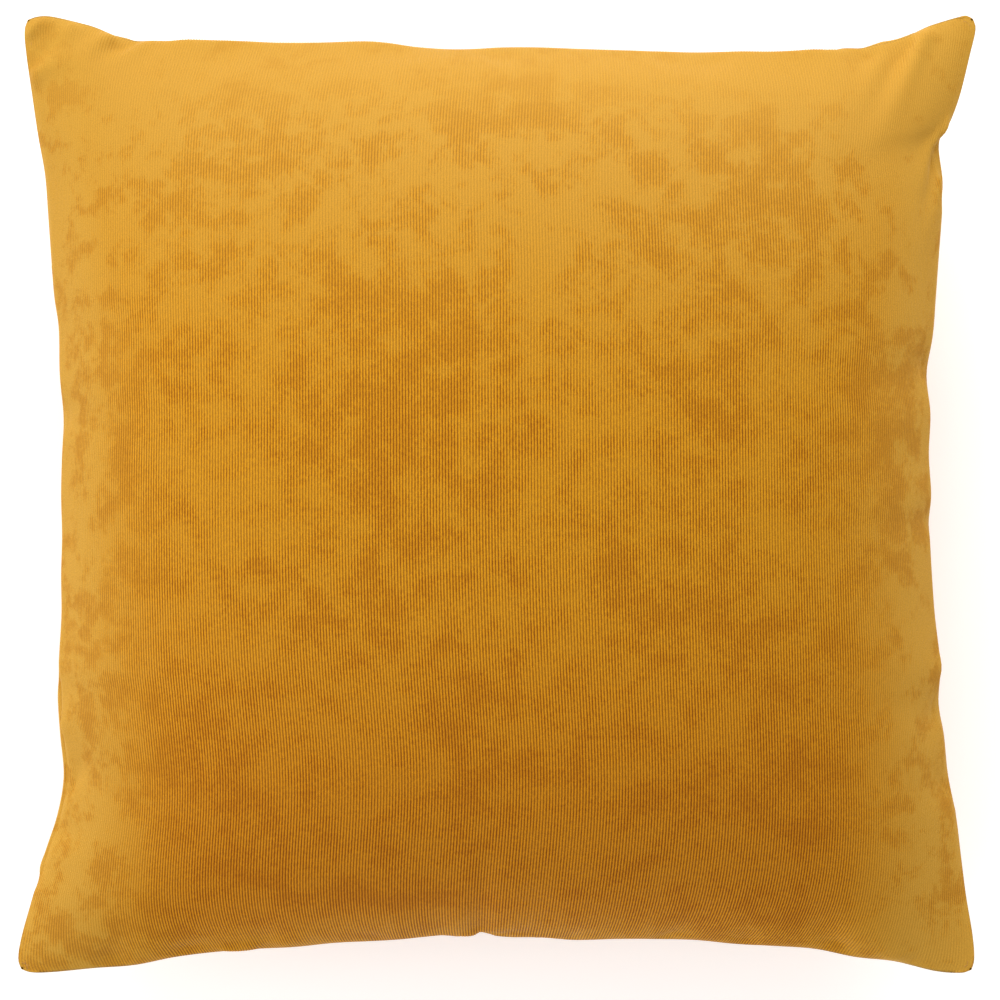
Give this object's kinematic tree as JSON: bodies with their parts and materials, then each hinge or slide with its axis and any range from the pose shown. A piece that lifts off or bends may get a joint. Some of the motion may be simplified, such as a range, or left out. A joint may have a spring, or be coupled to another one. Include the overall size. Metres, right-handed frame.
{
  "type": "throw pillow",
  "caption": "Square knife-edge throw pillow: ribbed cord cover with a concealed zip in one seam over a loose fibre-filled insert.",
  "frame": {"origin": "bottom centre of the bounding box: under the middle of the pillow, on the plane its back panel rests on", "axes": "+Z out of the front panel's crown, +Y towards the seam that holds the zip, +X to the right of a viewer who faces the front panel with the zip seam at the top"},
  "size_m": [0.4965, 0.4961, 0.1709],
  "materials": {
    "cord_cloth": "mustard needlecord velvet, fine soft ribs with a directional pile",
    "sewing_thread": "matching spun polyester thread",
    "zip_tape": "woven polyester tape dyed to match",
    "zip_coil": "nylon coil dyed to match",
    "zip_metal": "zinc painted to match the cloth",
    "label_cloth": "blank white satin ribbon",
    "insert_casing": "plain white non-woven casing",
    "insert_thread": "white polyester thread",
    "fibre": "carded hollow polyester fibre"
  },
  "bodies": {
    "pillow": {"front_panel": "cord_cloth", "back_panel": "cord_cloth", "seam_needle_thread": "sewing_thread", "seam_bobbin_thread": "sewing_thread", "overlock_thread": "sewing_thread", "bar_tack_closed_end": "sewing_thread", "bar_tack_open_end": "sewing_thread", "zip_tape_front": "zip_tape", "zip_tape_back": "zip_tape", "zip_stitching_front": "sewing_thread", "zip_stitching_back": "sewing_thread", "zip_coil_front": "zip_coil", "zip_coil_back": "zip_coil", "zip_top_stop_front": "zip_metal", "zip_top_stop_back": "zip_metal", "zip_bottom_stop": "zip_metal", "care_label": "label_cloth", "insert_front_panel": "insert_casing", "insert_back_panel": "insert_casing", "insert_seam_thread": "insert_thread", "fibre_fill": "fibre"},
    "slider": {"zip_slider_body": "zip_metal"},
    "pull": {"zip_pull_tab": "zip_metal"}
  },
  "joints": [
    {"name": "zip_slide", "type": "slide", "parent": "pillow", "child": "slider", "axis": [0.9999, -0.0148, 0], "range_m": [0, 0.297], "deforming": ["zip_coil_front", "zip_coil_back"]},
    {"name": "pull_hinge", "type": "hinge", "parent": "slider", "child": "pull", "pos_m": [-0.15535, 0.2342, 0.085], "axis": [0, 0, 1], "range_deg": [0, 150]}
  ]
}
